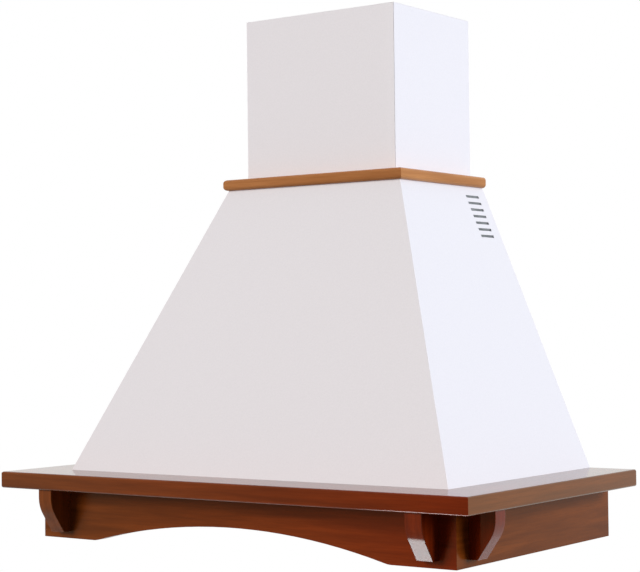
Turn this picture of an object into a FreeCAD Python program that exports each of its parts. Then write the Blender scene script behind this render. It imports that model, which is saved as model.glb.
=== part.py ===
import FreeCAD, Part
import math
import os

# A wall-mounted range hood: a painted sheet canopy with a chimney, set in a wooden shelf with an arched apron.
# Millimetres. X runs along the wall, the front faces -Y, the wall is the plane y = 0, and Z is up.
# The origin is the centre of the four wall screws.

V = FreeCAD.Vector

# Clearances and cuts
CLEARANCE = 0.3
RUNNING_FIT = 0.05
CUT_OVERRUN = 5

# Wooden shelf, three mitred boards
SHELF_WIDTH = 900
SHELF_DEPTH = 520
SHELF_THICKNESS = 26.8
SHELF_LEDGE = 82
SHELF_EDGE_RADIUS = 3.5

# Apron under the shelf, with an arch in its front board
SHELF_OVERHANG = 50
APRON_HEIGHT = 82.2
APRON_THICKNESS = 20
ARCH_END_MARGIN = 115
ARCH_RISE = 36.3
ARCH_EASE_RADIUS = 40

# Corbels between the apron and the shelf
CORBEL_THICKNESS = 28
CORBEL_REACH = 44
CORBEL_FOOT = 14
CORBEL_HEIGHT = 71.2
CORBEL_SHOULDER = 28
CORBEL_BEND_RADIUS = 50
CORBEL_FRONT_INSET = 29.5
CORBEL_SIDE_INSET = 33

# Chimney cover and the wooden collar round its foot
CHIMNEY_WIDTH = 300
CHIMNEY_DEPTH = 232
CHIMNEY_HEIGHT = 287
CHIMNEY_SHEET = 1
CHIMNEY_LIP = 15
COLLAR_STRIP = 29.7
COLLAR_THICKNESS = 18.2
COLLAR_EDGE_RADIUS = 6
COLLAR_OVERHANG = 7

# Chimney bracket on the wall
BRACKET_THICKNESS = 2
BRACKET_HEIGHT = 30
BRACKET_DROP = 40
BRACKET_HOLE_INSET = 60
BRACKET_HOLE_RADIUS = 3

# Canopy of folded sheet, whose base flange sits on the shelf behind a ledge
CANOPY_HEIGHT = 466
CANOPY_SHEET = 1.2
BASE_FLANGE = 20
BASE_FLANGE_MARGIN = 8
TOP_FLANGE = 36
DECK_SHEET = 1.5

# Vent slots in the canopy's cheeks
SLOT_COUNT = 7
SLOT_LENGTH = 41
SLOT_HEIGHT = 4.2
SLOT_PITCH = 11.2
SLOT_WALL_MARGIN = 24.7
SLOT_TOP_MARGIN = 17.5

# Wall screws through the back panel
WALL_SCREW_HEIGHT = 250
WALL_SCREW_SPACING_X = 240
WALL_SCREW_SPACING_Z = 200
WALL_SCREW_RADIUS = 4

# Base tray with two filter openings
TRAY_SHEET = 1.2
TRAY_LIP_HEIGHT = 8
TRAY_REAR_MARGIN = 44
TRAY_FRONT_STRIP = 98
TRAY_CENTRE_BAR = 16

# Grease filters
FILTER_SIDE_MARGIN = 13
FILTER_GAP = 1
FILTER_RIM = 14
FILTER_FRONT_RIM = 30
FILTER_LIP = 1.5
FILTER_GROOVE = 6
FILTER_HINGE_RADIUS = 4
MESH_PITCH = 16
MESH_BAR = 3
TAB_THICKNESS = 1.5
TAB_WIDTH = 24
TAB_HOLD = 4
TAB_PLACE_SHARES = (0.2, 0.8)

# Filter latches
LATCH_WIDTH = 44
LATCH_LENGTH = 9
LATCH_TRAVEL = 6
LATCH_SETBACK = 8
LATCH_GRIP = 6
LATCH_HEAD = 1.5
LATCH_HEAD_OVERLAP = 5
LATCH_HEAD_REACH = 2

# Lamps
LAMP_SIDE_MARGIN = 100
LAMP_RADIUS = 29
LAMP_HEIGHT = 38
LAMP_WALL = 1.5
LAMP_RIM = 6
BEZEL_RADIUS = 37
BEZEL_HEIGHT = 4
LENS_THICKNESS = 2.5
LENS_SEAT = 2
BULB_RADIUS = 6
BULB_LENGTH = 22

# Push buttons, their fascia and the switch behind them
BUTTON_NAMES = ("off", "low", "medium", "high", "light")
BUTTON_PITCH = 22
BUTTON_LENGTH = 15
BUTTON_WIDTH = 11
BUTTON_STAND = 5
BUTTON_TRAVEL = 3
BUTTON_RIM = 1.5
STEM_LENGTH = 9
STEM_WIDTH = 6
STEM_HEIGHT = 12
FASCIA_THICKNESS = 2.5
FASCIA_MARGIN = 9
SWITCH_WALL = 6

# Blower scroll, four-centre spiral about the fan's axis
BLOWER_DROP = 200
SCROLL_FRONT_GAP = 28
SCROLL_HALF_WIDTH = 80
SCROLL_STEP = 14
SCROLL_TONGUE = 10
SCROLL_SHEET = 1.2
SCROLL_FLANGE = 14
INLET_LIP = 3

# Impeller
IMPELLER_GAP = 18
IMPELLER_HALF_LENGTH = 66
IMPELLER_RING = 2.5
IMPELLER_DISC = 3
HUB_RADIUS = 14
HUB_HALF_LENGTH = 9
BLADE_COUNT = 28
BLADE_CHORD = 17
BLADE_THICKNESS = 1.2
BLADE_LEAN_DEGREES = 35

# Motor, its shaft and its bracket
SHAFT_RADIUS = 4
SHAFT_LENGTH = 74
MOTOR_RADIUS = 42
MOTOR_LENGTH = 78
MOTOR_BOSS_RADIUS = 13
MOTOR_BOSS_LENGTH = 6
MOTOR_HUB_GAP = 2
ARM_COUNT = 3
ARM_THICKNESS = 3
ARM_WIDTH = 16
ARM_FOOT_LENGTH = 14
GROMMET_RADIUS = 7
GROMMET_THICKNESS = 6
GROMMET_SETBACK = 14

# Duct spigot and its two draught flaps
SPIGOT_RADIUS = 75
SPIGOT_WALL = 1.5
SPIGOT_HEIGHT = 60
SPIGOT_FLANGE = 2
FLAP_HEIGHT = 16
FLAP_THICKNESS = 1.2
FLAP_RIM_GAP = 0.6
FLAP_PIVOT_RADIUS = 2
FLAP_PIVOT_OFFSET = 4
FLAP_EDGE_OFFSET = 2
STOP_LEDGE = 2.5
STOP_GAP = 12

# Electrical pieces on the back panel and the deck
JUNCTION_SIDE_GAP = 45
JUNCTION_WIDTH = 100
JUNCTION_DEPTH = 45
JUNCTION_HEIGHT = 70
JUNCTION_DROP = 80
JUNCTION_WALL = 2
TERMINAL_WIDTH = 56
TERMINAL_DEPTH = 16
TERMINAL_HEIGHT = 20
CAPACITOR_SIDE_GAP = 86
CAPACITOR_DROP = 115
CAPACITOR_RADIUS = 17
CAPACITOR_LENGTH = 58
GLAND_INSET = 28
GLAND_RADIUS = 8
GLAND_BORE_RADIUS = 4.5
GLAND_NUT_RADIUS = 12
GLAND_NUT_HEIGHT = 5
GLAND_REACH = 15

# Screws
SCREW_RADIUS = 1.75
SCREW_LENGTH = 12
SCREW_HEAD_RADIUS = 4
SCREW_HEAD_HEIGHT = 2.2
TRAY_SIDE_SCREW_SHARES = (0.2, 0.62)
CANOPY_SIDE_SCREW_SHARES = (0.38, 0.8)
FRONT_SCREW_SHARE = 0.4
DECK_SCREW_SHARE = 0.36

# Levels
shelf_top = -WALL_SCREW_HEIGHT
shelf_bottom = shelf_top - SHELF_THICKNESS
apron_bottom = shelf_bottom - APRON_HEIGHT
canopy_top = shelf_top + CANOPY_HEIGHT
collar_top = canopy_top + COLLAR_THICKNESS
chimney_top = canopy_top + CHIMNEY_HEIGHT
tray_top = shelf_bottom
tray_bottom = tray_top - TRAY_SHEET
deck_top = canopy_top - CANOPY_SHEET
deck_bottom = deck_top - DECK_SHEET

# Plan sizes that several pieces share
shelf_board = SHELF_LEDGE + BASE_FLANGE + BASE_FLANGE_MARGIN
shelf_half = SHELF_WIDTH / 2
shelf_inner_half = shelf_half - shelf_board
shelf_inner_depth = SHELF_DEPTH - shelf_board
apron_half = shelf_half - SHELF_OVERHANG
apron_depth = SHELF_DEPTH - SHELF_OVERHANG
apron_inner_half = apron_half - APRON_THICKNESS
apron_inner_depth = apron_depth - APRON_THICKNESS
chimney_half = CHIMNEY_WIDTH / 2
collar_half = chimney_half + CLEARANCE + COLLAR_STRIP
collar_depth = CHIMNEY_DEPTH + CLEARANCE + COLLAR_STRIP
canopy_base_half = shelf_half - SHELF_LEDGE
canopy_base_depth = SHELF_DEPTH - SHELF_LEDGE
canopy_top_half = collar_half - COLLAR_OVERHANG
canopy_top_depth = collar_depth - COLLAR_OVERHANG
side_slope = (canopy_base_half - canopy_top_half) / CANOPY_HEIGHT
front_slope = (canopy_base_depth - canopy_top_depth) / CANOPY_HEIGHT
side_inset = CANOPY_SHEET * math.hypot(1, side_slope)
front_inset = CANOPY_SHEET * math.hypot(1, front_slope)
mitre_ratio = front_inset / side_inset

# Filters, lamps and buttons
filter_height = TRAY_LIP_HEIGHT + CLEARANCE + TAB_THICKNESS
filter_near = TRAY_CENTRE_BAR / 2 + FILTER_GAP
filter_far = shelf_inner_half - FILTER_SIDE_MARGIN
filter_rear = -TRAY_REAR_MARGIN - FILTER_GAP
filter_front = -shelf_inner_depth + TRAY_FRONT_STRIP + TRAY_SHEET + FILTER_GAP
front_strip_y = -shelf_inner_depth + TRAY_FRONT_STRIP / 2
button_row_half = BUTTON_PITCH * (len(BUTTON_NAMES) - 1) / 2
button_rim_bottom = tray_bottom + CLEARANCE
button_rim_top = button_rim_bottom + BUTTON_RIM
cutout_half_length = button_row_half + BUTTON_LENGTH / 2 + BUTTON_RIM + CLEARANCE
cutout_half_width = BUTTON_WIDTH / 2 + BUTTON_RIM + CLEARANCE
fascia_bottom = tray_bottom - FASCIA_THICKNESS

# Blower
spigot_y = -CHIMNEY_DEPTH / 2
spigot_bore = SPIGOT_RADIUS - SPIGOT_WALL
blower_depth = canopy_base_depth - front_slope * (CANOPY_HEIGHT - BLOWER_DROP) - front_inset
scroll_room = blower_depth - SCROLL_FRONT_GAP + spigot_y
scroll_radius = (2 * scroll_room - 3 * SCROLL_STEP - SCROLL_TONGUE) / 3
impeller_radius = scroll_radius - IMPELLER_GAP
impeller_eye_radius = impeller_radius - BLADE_CHORD
inlet_radius = impeller_eye_radius - INLET_LIP
grommet_circle_radius = inlet_radius + GROMMET_SETBACK
axis_y = spigot_y - (scroll_radius + 2 * SCROLL_STEP + SCROLL_TONGUE) / 2
axis_z = canopy_top - BLOWER_DROP
throat_half_depth = (scroll_radius + 3 * SCROLL_STEP - SCROLL_TONGUE) / 2
motor_start = HUB_HALF_LENGTH + MOTOR_HUB_GAP + MOTOR_BOSS_LENGTH
motor_end = motor_start + MOTOR_LENGTH
flap_z = deck_top + FLAP_HEIGHT

Z = V(0, 0, 1)


# General shapes
def block(x_span, y_span, z_span):
    """Box between three pairs of lowest and highest values."""
    corner = V(x_span[0], y_span[0], z_span[0])
    return Part.makeBox(x_span[1] - x_span[0], y_span[1] - y_span[0], z_span[1] - z_span[0], corner)


def around(middle, half):
    """Pair of values at the same distance either side of a middle."""
    return (middle - half, middle + half)


def rod(radius, start, end):
    """Cylinder between two points."""
    along = end - start
    return Part.makeCylinder(radius, along.Length, start, along)


def flat_face(points):
    return Part.Face(Part.makePolygon(points + points[:1]))


def flat_prism(points, z_span):
    """Upright prism over an outline given as pairs of x and y."""
    face = flat_face([V(x, y, z_span[0]) for x, y in points])
    return face.extrude(Z * (z_span[1] - z_span[0]))


def hexahedron(bottom, top):
    """Solid with six flat faces between two outlines of four points."""
    sides = []
    for index in range(len(bottom)):
        after = (index + 1) % len(bottom)
        sides.append([bottom[index], bottom[after], top[after], top[index]])
    shell = Part.Shell([flat_face(points) for points in [bottom, top] + sides])
    solid = Part.Solid(shell)
    if solid.Volume < 0:
        solid.reverse()
    return solid


def corner_arc(start, corner, end):
    """Quarter arc that rounds a square corner, from start to end."""
    centre = start + end - corner
    radius = (start - centre).Length
    outward = (corner - centre).normalize()
    return Part.Arc(start, centre + outward * radius, end).toShape()


def edged_strip(corner, inward, up, along, radius):
    """Bar whose two outer long edges are rounded; corner is the lower outer end of it."""
    step_in = V(inward).normalize() * radius
    step_up = V(up).normalize() * radius
    low_start = corner + step_in
    low_end = corner + inward
    high_end = low_end + up
    high_corner = corner + up
    high_start = high_corner + step_in
    edges = [
        Part.makeLine(low_start, low_end),
        Part.makeLine(low_end, high_end),
        Part.makeLine(high_end, high_start),
        corner_arc(high_start, high_corner, high_corner - step_up),
        Part.makeLine(high_corner - step_up, corner + step_up),
        corner_arc(corner + step_up, corner, low_start),
    ]
    return Part.Face(Part.Wire(edges)).extrude(along)


def mitre_cutters(half, depth, strip, z_span, sign):
    """Two prisms either side of a corner's mitre: what the front piece loses, and what the side piece loses."""
    z_cut = (z_span[0] - CUT_OVERRUN, z_span[1] + CUT_OVERRUN)
    outer = (sign * (half + CUT_OVERRUN), -depth - CUT_OVERRUN)
    inner = (sign * (half - strip - CUT_OVERRUN), -depth + strip + CUT_OVERRUN)
    off_front = flat_prism([outer, inner, (outer[0], inner[1])], z_cut)
    off_side = flat_prism([outer, inner, (inner[0], outer[1])], z_cut)
    return off_front, off_side


def mirrored(shape):
    """Copy on the other side of the hood's middle."""
    return shape.mirror(V(0, 0, 0), V(1, 0, 0))


def screw(seat, along):
    """Pan head screw whose head sits at a point, with its shank along a direction."""
    shank = rod(SCREW_RADIUS, seat, seat + along * SCREW_LENGTH)
    head = rod(SCREW_HEAD_RADIUS, seat, seat - along * SCREW_HEAD_HEIGHT)
    return shank.fuse(head)


def screw_holes(seats, along):
    """Clearance holes for screws seated at the given points."""
    radius = SCREW_RADIUS + CLEARANCE
    reach = SCREW_LENGTH + CLEARANCE
    return [rod(radius, seat - along * CUT_OVERRUN, seat + along * reach) for seat in seats]


# Wood
def mitred_frame(half, depth, strip, z_span, edge_radius):
    """Front, left and right strips of a frame that is open at the wall."""
    up = Z * (z_span[1] - z_span[0])
    front = edged_strip(V(-half, -depth, z_span[0]), V(0, strip, 0), up, V(2 * half, 0, 0), edge_radius)
    sides = []
    for sign in (-1, 1):
        corner = V(sign * half, -depth, z_span[0])
        off_front, off_side = mitre_cutters(half, depth, strip, z_span, sign)
        front = front.cut(off_front)
        side = edged_strip(corner, V(-sign * strip, 0, 0), up, V(0, depth, 0), edge_radius)
        sides.append(side.cut(off_side))
    return front, sides[0], sides[1]


def tray_screw_seats():
    side_x = (shelf_inner_half + apron_inner_half) / 2
    front_y = -(shelf_inner_depth + apron_inner_depth) / 2
    seats = []
    for sign in (-1, 1):
        for share in TRAY_SIDE_SCREW_SHARES:
            seats.append(V(sign * side_x, -share * apron_inner_depth, tray_bottom))
        seats.append(V(sign * FRONT_SCREW_SHARE * shelf_inner_half, front_y, tray_bottom))
    return seats


def canopy_screw_seats():
    setback = (BASE_FLANGE + SCREW_HEAD_RADIUS) / 2
    level = shelf_top + CANOPY_SHEET
    seats = []
    for sign in (-1, 1):
        for share in CANOPY_SIDE_SCREW_SHARES:
            seats.append(V(sign * (canopy_base_half - setback), -share * canopy_base_depth, level))
        front_x = sign * FRONT_SCREW_SHARE * canopy_base_half
        seats.append(V(front_x, -canopy_base_depth + setback, level))
    return seats


def shelf_boards():
    holes = screw_holes(tray_screw_seats(), Z) + screw_holes(canopy_screw_seats(), -Z)
    boards = mitred_frame(shelf_half, SHELF_DEPTH, shelf_board, (shelf_bottom, shelf_top), SHELF_EDGE_RADIUS)
    names = ("shelf_front", "shelf_left", "shelf_right")
    return {name: board.cut(holes) for name, board in zip(names, boards)}


def apron_front():
    """Front apron with its arch, whose ends ease into the straight lower edge."""
    half_span = apron_half - ARCH_END_MARGIN
    arch_radius = (half_span ** 2 + ARCH_RISE ** 2) / (2 * ARCH_RISE)
    arch_centre = V(0, -apron_depth, apron_bottom + ARCH_RISE - arch_radius)
    ease_z = apron_bottom + ARCH_EASE_RADIUS
    reach = arch_radius + ARCH_EASE_RADIUS
    ease_x = math.sqrt(reach ** 2 - (ease_z - arch_centre.z) ** 2)
    turn = math.asin(ease_x / reach)
    ends = []
    middles = []
    for sign in (-1, 1):
        ease_centre = V(sign * ease_x, -apron_depth, ease_z)
        ends.append(ease_centre + (arch_centre - ease_centre) * (ARCH_EASE_RADIUS / reach))
        half_turn = V(-sign * math.sin(turn / 2), 0, -math.cos(turn / 2))
        middles.append(ease_centre + half_turn * ARCH_EASE_RADIUS)
    crest = V(0, -apron_depth, apron_bottom + ARCH_RISE)
    low_left = V(-apron_half, -apron_depth, apron_bottom)
    low_right = V(apron_half, -apron_depth, apron_bottom)
    flat_left = V(-ease_x, -apron_depth, apron_bottom)
    flat_right = V(ease_x, -apron_depth, apron_bottom)
    up = Z * APRON_HEIGHT
    edges = [
        Part.makeLine(low_left, flat_left),
        Part.Arc(flat_left, middles[0], ends[0]).toShape(),
        Part.Arc(ends[0], crest, ends[1]).toShape(),
        Part.Arc(ends[1], middles[1], flat_right).toShape(),
        Part.makeLine(flat_right, low_right),
        Part.makeLine(low_right, low_right + up),
        Part.makeLine(low_right + up, low_left + up),
        Part.makeLine(low_left + up, low_left),
    ]
    return Part.Face(Part.Wire(edges)).extrude(V(0, APRON_THICKNESS, 0))


def apron_boards():
    z_span = (apron_bottom, shelf_bottom)
    front = apron_front()
    sides = []
    for sign in (-1, 1):
        off_front, off_side = mitre_cutters(apron_half, apron_depth, APRON_THICKNESS, z_span, sign)
        front = front.cut(off_front)
        x_span = sorted((sign * apron_inner_half, sign * apron_half))
        sides.append(block(x_span, (-apron_depth, 0), z_span).cut(off_side))
    return {"apron_front": front, "apron_left": sides[0], "apron_right": sides[1]}


def corbel(root, out, across):
    """Bracket block: root is the top of its back edge, out points away from the apron."""
    turn = math.atan2(CORBEL_REACH - CORBEL_FOOT, CORBEL_HEIGHT - CORBEL_SHOULDER)
    bend_start = CORBEL_SHOULDER - CORBEL_BEND_RADIUS * math.tan(turn / 2)

    def at(reach, drop):
        return root + out * reach - Z * drop

    def on_bend(angle):
        centre = at(CORBEL_REACH - CORBEL_BEND_RADIUS, bend_start)
        return centre + (out * math.cos(angle) - Z * math.sin(angle)) * CORBEL_BEND_RADIUS

    edges = [
        Part.makeLine(at(0, 0), at(CORBEL_REACH, 0)),
        Part.makeLine(at(CORBEL_REACH, 0), on_bend(0)),
        Part.Arc(on_bend(0), on_bend(turn / 2), on_bend(turn)).toShape(),
        Part.makeLine(on_bend(turn), at(CORBEL_FOOT, CORBEL_HEIGHT)),
        Part.makeLine(at(CORBEL_FOOT, CORBEL_HEIGHT), at(0, CORBEL_HEIGHT)),
        Part.makeLine(at(0, CORBEL_HEIGHT), at(0, 0)),
    ]
    return Part.Face(Part.Wire(edges)).extrude(across * CORBEL_THICKNESS)


def corbels():
    front_root = V(apron_half - CORBEL_FRONT_INSET, -apron_depth, shelf_bottom)
    side_root = V(apron_half, -apron_depth + CORBEL_SIDE_INSET, shelf_bottom)
    front = corbel(front_root, V(0, -1, 0), V(-1, 0, 0))
    side = corbel(side_root, V(1, 0, 0), V(0, 1, 0))
    return {
        "corbel_front_left": mirrored(front),
        "corbel_front_right": front,
        "corbel_side_left": mirrored(side),
        "corbel_side_right": side,
    }


def collar_strips():
    strips = mitred_frame(collar_half, collar_depth, COLLAR_STRIP, (canopy_top, collar_top), COLLAR_EDGE_RADIUS)
    return dict(zip(("collar_front", "collar_left", "collar_right"), strips))


# Painted sheet
def canopy_half(z):
    return canopy_base_half - side_slope * (z - shelf_top)


def canopy_depth(z):
    return canopy_base_depth - front_slope * (z - shelf_top)


def plan_front(z, inset_share):
    """Front edge of the canopy in plan, from left to right, on its outer or inner face."""
    half = canopy_half(z) - side_inset * inset_share
    front = -canopy_depth(z) + front_inset * inset_share
    return [V(-half, front, z), V(half, front, z)]


def canopy_envelope():
    outlines = []
    for z in (shelf_top, canopy_top):
        left, right = plan_front(z, 0)
        outlines.append([left, right, V(right.x, 0, z), V(left.x, 0, z)])
    return hexahedron(outlines[0], outlines[1])


def flange(z_span, width, level, front):
    """Inward flange along the canopy's front or right side, mitred at the corners."""
    half = canopy_half(level)
    depth = canopy_depth(level)
    inner_half = half - width
    inner_depth = depth - width * mitre_ratio
    if front:
        points = [(-half, -depth), (half, -depth), (inner_half, -inner_depth), (-inner_half, -inner_depth)]
    else:
        points = [(half, -depth), (half, 0), (inner_half, 0), (inner_half, -inner_depth)]
    return flat_prism(points, z_span)


def canopy_panel(front):
    """Sloping panel with its base and top flanges."""
    outlines = []
    for z in (shelf_top, canopy_top):
        outer = plan_front(z, 0)
        inner = plan_front(z, 1)
        if front:
            outlines.append([outer[0], outer[1], inner[1], inner[0]])
        else:
            outlines.append([outer[1], V(outer[1].x, 0, z), V(inner[1].x, 0, z), inner[1]])
    panel = hexahedron(outlines[0], outlines[1])
    base = flange((shelf_top, shelf_top + CANOPY_SHEET), BASE_FLANGE, shelf_top, front)
    top = flange((deck_top, canopy_top), TOP_FLANGE, canopy_top, front)
    return panel.fuse([base.common(canopy_envelope()), top]).removeSplitter()


def vent_slots():
    x_span = (canopy_top_half - CUT_OVERRUN, canopy_base_half)
    y_span = (-SLOT_WALL_MARGIN - SLOT_LENGTH, -SLOT_WALL_MARGIN)
    slots = []
    for index in range(SLOT_COUNT):
        middle = canopy_top - SLOT_TOP_MARGIN - index * SLOT_PITCH
        slots.append(block(x_span, y_span, around(middle, SLOT_HEIGHT / 2)))
    return slots


def canopy():
    holes = screw_holes(canopy_screw_seats(), -Z)
    side = canopy_panel(False)
    front = canopy_panel(True).cut([side, mirrored(side)])
    side = side.cut(vent_slots())
    return {
        "canopy_front": front.cut(holes),
        "canopy_left": mirrored(side).cut(holes),
        "canopy_right": side.cut(holes),
    }


def back_panel():
    """Plate against the wall, from the tray up to the canopy's top flanges."""
    tongue_half = shelf_inner_half - CLEARANCE
    step_z = shelf_top + CANOPY_SHEET
    step_half = canopy_half(step_z) - side_inset
    top_half = canopy_half(deck_top) - side_inset
    right = [(tongue_half, tray_top), (tongue_half, step_z), (step_half, step_z), (top_half, deck_top)]
    left = [(-x, z) for x, z in reversed(right)]
    plate = flat_face([V(x, 0, z) for x, z in right + left]).extrude(V(0, -CANOPY_SHEET, 0))
    for x in around(0, WALL_SCREW_SPACING_X / 2):
        for z in around(0, WALL_SCREW_SPACING_Z / 2):
            plate = plate.cut(rod(WALL_SCREW_RADIUS, V(x, CUT_OVERRUN, z), V(x, -CUT_OVERRUN, z)))
    return plate


def chimney_cover():
    """Three-sided cover with lips turned in along the wall."""
    inner_half = chimney_half - CHIMNEY_SHEET
    lip_half = chimney_half - CHIMNEY_LIP
    z_span = (canopy_top, chimney_top)
    z_cut = (canopy_top - CUT_OVERRUN, chimney_top + CUT_OVERRUN)
    shell = block(around(0, chimney_half), (-CHIMNEY_DEPTH, 0), z_span)
    shell = shell.cut(block(around(0, inner_half), (-CHIMNEY_DEPTH + CHIMNEY_SHEET, -CHIMNEY_SHEET), z_cut))
    return shell.cut(block(around(0, lip_half), (-CUT_OVERRUN, CUT_OVERRUN), z_cut))


def chimney_bracket():
    """Wall strip whose joggled ends hold the cover's lips."""
    top = chimney_top - BRACKET_DROP
    z_span = (top - BRACKET_HEIGHT, top)
    lip_half = chimney_half - CHIMNEY_LIP - CLEARANCE
    end_half = chimney_half - CHIMNEY_SHEET - CLEARANCE
    strip = block(around(0, lip_half), (-BRACKET_THICKNESS, 0), z_span)
    end_y = (-CHIMNEY_SHEET - BRACKET_THICKNESS, -CHIMNEY_SHEET)
    for sign in (-1, 1):
        x_span = sorted((sign * (lip_half - BRACKET_THICKNESS), sign * end_half))
        strip = strip.fuse(block(x_span, end_y, z_span))
    middle = top - BRACKET_HEIGHT / 2
    for x in around(0, chimney_half - BRACKET_HOLE_INSET):
        strip = strip.cut(rod(BRACKET_HOLE_RADIUS, V(x, CUT_OVERRUN, middle), V(x, -CUT_OVERRUN, middle)))
    return strip.removeSplitter()


def deck_screw_seats():
    x_half = SCROLL_HALF_WIDTH + SCROLL_FLANGE / 2
    y_half = DECK_SCREW_SHARE * 2 * throat_half_depth
    level = deck_top + SPIGOT_FLANGE
    return [V(x, y, level) for x in around(0, x_half) for y in around(spigot_y, y_half)]


def gland_place():
    return V(chimney_half - GLAND_INSET, -GLAND_INSET, deck_top)


def top_deck():
    """Plate under the canopy's top flanges that carries the blower and the duct spigot."""
    half = canopy_half(deck_top) - side_inset - CLEARANCE
    front = -canopy_depth(deck_top) + front_inset + CLEARANCE
    plate = block(around(0, half), (front, -CANOPY_SHEET), (deck_bottom, deck_top))
    centre = V(0, spigot_y, deck_bottom)
    holes = [rod(spigot_bore, centre - Z * CUT_OVERRUN, centre + Z * CUT_OVERRUN)]
    gland = gland_place()
    holes.append(rod(GLAND_RADIUS + CLEARANCE, gland - Z * CUT_OVERRUN, gland + Z * CUT_OVERRUN))
    return plate.cut(holes + screw_holes(deck_screw_seats(), -Z))


# Underside
def lamp_centre():
    return V(shelf_inner_half - LAMP_SIDE_MARGIN, front_strip_y, tray_bottom)


def base_tray():
    x_half = apron_inner_half - CLEARANCE
    tray = block(around(0, x_half), (-apron_inner_depth + CLEARANCE, 0), (tray_bottom, tray_top))
    x_open = (filter_near - FILTER_GAP, filter_far + FILTER_GAP)
    y_open = (filter_front - FILTER_GAP, filter_rear + FILTER_GAP)
    x_lip = (x_open[0] - TRAY_SHEET, x_open[1] + TRAY_SHEET)
    y_lip = (y_open[0] - TRAY_SHEET, y_open[1] + TRAY_SHEET)
    lip_top = tray_bottom + TRAY_LIP_HEIGHT
    lip = block(x_lip, y_lip, (tray_bottom, lip_top))
    opening = block(x_open, y_open, (tray_bottom - CUT_OVERRUN, lip_top + CUT_OVERRUN))
    centre = lamp_centre()
    lamp_hole = rod(LAMP_RADIUS + CLEARANCE, centre - Z * CUT_OVERRUN, centre + Z * CUT_OVERRUN)
    tray = tray.fuse([lip, mirrored(lip)])
    z_cut = (tray_bottom - CUT_OVERRUN, tray_top + CUT_OVERRUN)
    switch_hole = block(around(0, cutout_half_length), around(front_strip_y, cutout_half_width), z_cut)
    holes = [opening, mirrored(opening), lamp_hole, mirrored(lamp_hole), switch_hole]
    return tray.cut(holes + screw_holes(tray_screw_seats(), Z)).removeSplitter()


def latch_spans():
    """Plan of a latch's stem at rest."""
    middle = (filter_near + filter_far) / 2
    front = filter_front + LATCH_SETBACK
    return around(middle, LATCH_WIDTH / 2), (front, front + LATCH_LENGTH)


def hinge_relief():
    """What the filter's rear lower edge loses to be round about the axis that it swings on."""
    x_cut = (filter_near - CUT_OVERRUN, filter_far + CUT_OVERRUN)
    axis = V(0, filter_rear - FILTER_HINGE_RADIUS, tray_bottom + FILTER_HINGE_RADIUS)
    corner = block(x_cut, (axis.y, filter_rear + CUT_OVERRUN), (tray_bottom - CUT_OVERRUN, axis.z))
    return corner.cut(rod(FILTER_HINGE_RADIUS, axis + V(x_cut[0], 0, 0), axis + V(x_cut[1], 0, 0)))


def filter_frame():
    """Right-hand filter's channel frame, with rear tabs that hook over the tray's lip."""
    z_span = (tray_bottom, tray_bottom + filter_height)
    frame = block((filter_near, filter_far), (filter_front, filter_rear), z_span)
    x_window = (filter_near + FILTER_RIM, filter_far - FILTER_RIM)
    y_window = (filter_front + FILTER_FRONT_RIM, filter_rear - FILTER_RIM)
    z_cut = (z_span[0] - CUT_OVERRUN, z_span[1] + CUT_OVERRUN)
    mesh_spans = mesh_space(0)
    frame = frame.cut([block(x_window, y_window, z_cut), block(*mesh_spans), hinge_relief()])
    tab_reach = FILTER_GAP + TRAY_SHEET + TAB_HOLD
    tab_z = (z_span[1] - TAB_THICKNESS, z_span[1])
    for share in TAB_PLACE_SHARES:
        middle = filter_near + share * (filter_far - filter_near)
        tab = block(around(middle, TAB_WIDTH / 2), (filter_rear - FILTER_LIP, filter_rear + tab_reach), tab_z)
        frame = frame.fuse(tab)
    x_stem, y_stem = latch_spans()
    x_slot = (x_stem[0] - CLEARANCE, x_stem[1] + CLEARANCE)
    y_slot = (y_stem[0] - CLEARANCE, y_stem[1] + LATCH_TRAVEL + CLEARANCE)
    return frame.cut(block(x_slot, y_slot, z_cut)).removeSplitter()


def mesh_space(gap):
    """Spans of the mesh pad inside the channel frame, less a gap all round."""
    inset = FILTER_RIM - FILTER_GROOVE + gap
    inset_at_front = FILTER_FRONT_RIM - FILTER_GROOVE + gap
    x_span = (filter_near + inset, filter_far - inset)
    y_span = (filter_front + inset_at_front, filter_rear - inset)
    lip = FILTER_LIP + gap
    return x_span, y_span, (tray_bottom + lip, tray_bottom + filter_height - lip)


def mesh_marks(span):
    """Evenly spaced starts of the mesh's gaps between two ends, and the gap's length."""
    length = span[1] - span[0] - MESH_BAR
    count = int(length // MESH_PITCH)
    pitch = length / count
    return [span[0] + MESH_BAR + index * pitch for index in range(count)], pitch - MESH_BAR


def filter_mesh():
    """Open mesh pad, one face with square gaps."""
    x_span, y_span, z_span = mesh_space(CLEARANCE)

    def loop(x_ends, y_ends):
        plan = [(x_ends[0], y_ends[0]), (x_ends[1], y_ends[0]), (x_ends[1], y_ends[1]), (x_ends[0], y_ends[1])]
        points = [V(x, y, z_span[0]) for x, y in plan]
        return Part.makePolygon(points + points[:1])

    x_marks, x_gap = mesh_marks(x_span)
    y_marks, y_gap = mesh_marks(y_span)
    gaps = [loop((x, x + x_gap), (y, y + y_gap)) for x in x_marks for y in y_marks]
    sheet = Part.Face([loop(x_span, y_span)] + gaps)
    sheet.validate()
    return sheet.extrude(Z * (z_span[1] - z_span[0]))


def filter_latch():
    """Sliding catch in the filter's front rim, with a finger grip below it and a head above."""
    x_stem, y_stem = latch_spans()
    head_bottom = tray_bottom + filter_height + CLEARANCE
    stem = block(x_stem, y_stem, (tray_bottom - LATCH_GRIP, head_bottom))
    x_head = (x_stem[0] - LATCH_HEAD_OVERLAP, x_stem[1] + LATCH_HEAD_OVERLAP)
    head = block(x_head, (y_stem[0] - LATCH_HEAD_REACH, y_stem[1]), (head_bottom, head_bottom + LATCH_HEAD))
    return stem.fuse(head).removeSplitter()


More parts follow.
